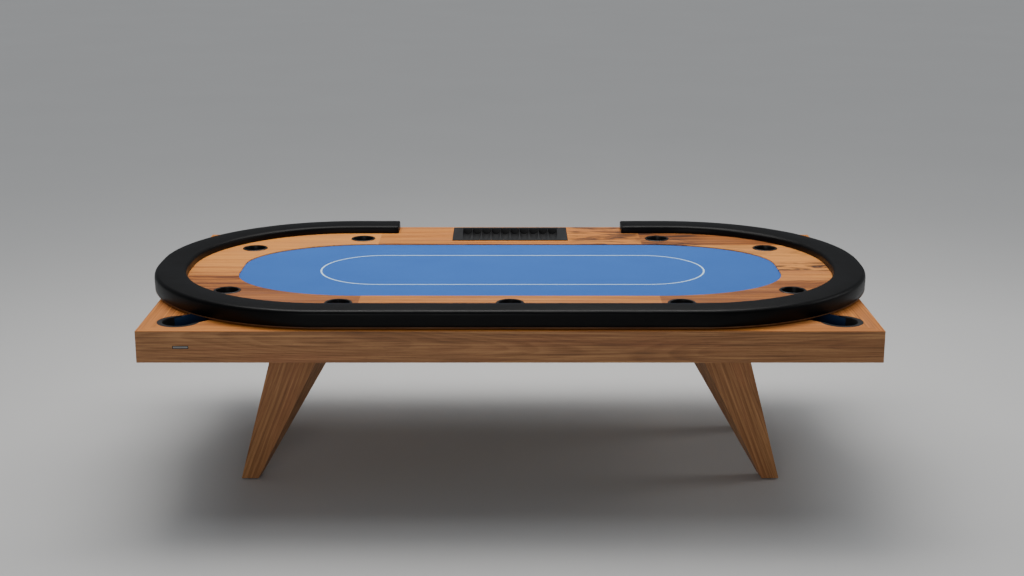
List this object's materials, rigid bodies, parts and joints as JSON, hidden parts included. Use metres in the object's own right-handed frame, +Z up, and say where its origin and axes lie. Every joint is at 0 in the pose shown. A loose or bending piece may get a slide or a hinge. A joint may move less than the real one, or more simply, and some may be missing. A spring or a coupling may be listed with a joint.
{
  "type": "poker table",
  "caption": "Oval padded poker top with cup holders, chip tray and blue playing cloth, resting on a rectangular walnut pool-table base with splayed tapered legs.",
  "frame": {"origin": "on the floor under the centre of the table", "axes": "+X along the long side, +Y from the players' front side to the dealer's rear side, +Z up"},
  "size_m": [2.794, 1.54, 0.812],
  "materials": {
    "walnut_frame": "satin oiled walnut with long cathedral grain",
    "walnut_leg": "satin oiled walnut with knots, grain along the leg",
    "walnut_top": "satin lacquered walnut planks",
    "bed_cloth": "worsted billiard cloth",
    "slate": "honed",
    "pocket_metal": "satin dark blue grey",
    "pocket_rubber": "matt black",
    "subframe_wood": "plain plywood",
    "steel": "zinc plated",
    "foot_plastic": "matt black",
    "plate_metal": "brushed, blank",
    "speed_cloth": "speed cloth with one pale printed oval line",
    "foam": "closed cell foam sheet",
    "vinyl": "satin black vinyl",
    "pad_rubber": "matt black",
    "cup_plastic": "black",
    "tray_plastic": "satin black"
  },
  "bodies": {
    "base": {"apron_front": "walnut_frame", "apron_rear": "walnut_frame", "apron_left": "walnut_frame", "apron_right": "walnut_frame", "rail_front": "walnut_frame", "rail_rear": "walnut_frame", "rail_left": "walnut_frame", "rail_right": "walnut_frame", "cushion_front_left": "bed_cloth", "cushion_front_right": "bed_cloth", "cushion_rear_left": "bed_cloth", "cushion_rear_right": "bed_cloth", "cushion_left": "bed_cloth", "cushion_right": "bed_cloth", "slate_bed": "slate", "bed_cloth": "bed_cloth", "pocket_rings": "pocket_metal", "pocket_facings": "bed_cloth", "pocket_bucket_front_left": "pocket_rubber", "pocket_bucket_front_right": "pocket_rubber", "pocket_bucket_rear_left": "pocket_rubber", "pocket_bucket_rear_right": "pocket_rubber", "pocket_bucket_front_middle": "pocket_rubber", "pocket_bucket_rear_middle": "pocket_rubber", "subframe": "subframe_wood", "leg_brackets": "steel", "leg_bolts": "steel", "name_plate": "plate_metal", "leg_front_left": "walnut_leg", "leg_front_right": "walnut_leg", "leg_rear_left": "walnut_leg", "leg_rear_right": "walnut_leg"},
    "poker_top": {"base_board": "walnut_top", "racetrack_front": "walnut_top", "racetrack_rear": "walnut_top", "racetrack_left": "walnut_top", "racetrack_right": "walnut_top", "field_foam": "foam", "field_cloth": "speed_cloth", "armrest_core": "subframe_wood", "armrest_front": "vinyl", "armrest_left": "vinyl", "armrest_right": "vinyl", "armrest_bolts": "steel", "top_pads": "pad_rubber", "locating_blocks": "subframe_wood"},
    "chip_tray": {"chip_tray": "tray_plastic"},
    "cup_1": {"cup_1": "cup_plastic"},
    "cup_2": {"cup_2": "cup_plastic"},
    "cup_3": {"cup_3": "cup_plastic"},
    "cup_4": {"cup_4": "cup_plastic"},
    "cup_5": {"cup_5": "cup_plastic"},
    "cup_6": {"cup_6": "cup_plastic"},
    "cup_7": {"cup_7": "cup_plastic"},
    "cup_8": {"cup_8": "cup_plastic"},
    "cup_9": {"cup_9": "cup_plastic"},
    "leveller_front_left": {"leveller_front_left": "foot_plastic"},
    "leveller_front_right": {"leveller_front_right": "foot_plastic"},
    "leveller_rear_left": {"leveller_rear_left": "foot_plastic"},
    "leveller_rear_right": {"leveller_rear_right": "foot_plastic"}
  },
  "joints": [
    {"name": "poker_top_lift", "type": "slide", "parent": "base", "child": "poker_top", "axis": [0, 0, 1], "range_m": [0, 0.25]},
    {"name": "chip_tray_lift", "type": "slide", "parent": "poker_top", "child": "chip_tray", "axis": [0, 0, 1], "range_m": [0, 0.08]},
    {"name": "cup_1_lift", "type": "slide", "parent": "poker_top", "child": "cup_1", "axis": [0, 0, 1], "range_m": [0, 0.12]},
    {"name": "cup_2_lift", "type": "slide", "parent": "poker_top", "child": "cup_2", "axis": [0, 0, 1], "range_m": [0, 0.12]},
    {"name": "cup_3_lift", "type": "slide", "parent": "poker_top", "child": "cup_3", "axis": [0, 0, 1], "range_m": [0, 0.12]},
    {"name": "cup_4_lift", "type": "slide", "parent": "poker_top", "child": "cup_4", "axis": [0, 0, 1], "range_m": [0, 0.12]},
    {"name": "cup_5_lift", "type": "slide", "parent": "poker_top", "child": "cup_5", "axis": [0, 0, 1], "range_m": [0, 0.12]},
    {"name": "cup_6_lift", "type": "slide", "parent": "poker_top", "child": "cup_6", "axis": [0, 0, 1], "range_m": [0, 0.12]},
    {"name": "cup_7_lift", "type": "slide", "parent": "poker_top", "child": "cup_7", "axis": [0, 0, 1], "range_m": [0, 0.12]},
    {"name": "cup_8_lift", "type": "slide", "parent": "poker_top", "child": "cup_8", "axis": [0, 0, 1], "range_m": [0, 0.12]},
    {"name": "cup_9_lift", "type": "slide", "parent": "poker_top", "child": "cup_9", "axis": [0, 0, 1], "range_m": [0, 0.12]},
    {"name": "leveller_front_left_screw", "type": "slide", "parent": "base", "child": "leveller_front_left", "axis": [0, 0, -1], "range_m": [0, 0.012]},
    {"name": "leveller_front_right_screw", "type": "slide", "parent": "base", "child": "leveller_front_right", "axis": [0, 0, -1], "range_m": [0, 0.012]},
    {"name": "leveller_rear_left_screw", "type": "slide", "parent": "base", "child": "leveller_rear_left", "axis": [0, 0, -1], "range_m": [0, 0.012]},
    {"name": "leveller_rear_right_screw", "type": "slide", "parent": "base", "child": "leveller_rear_right", "axis": [0, 0, -1], "range_m": [0, 0.012]}
  ]
}
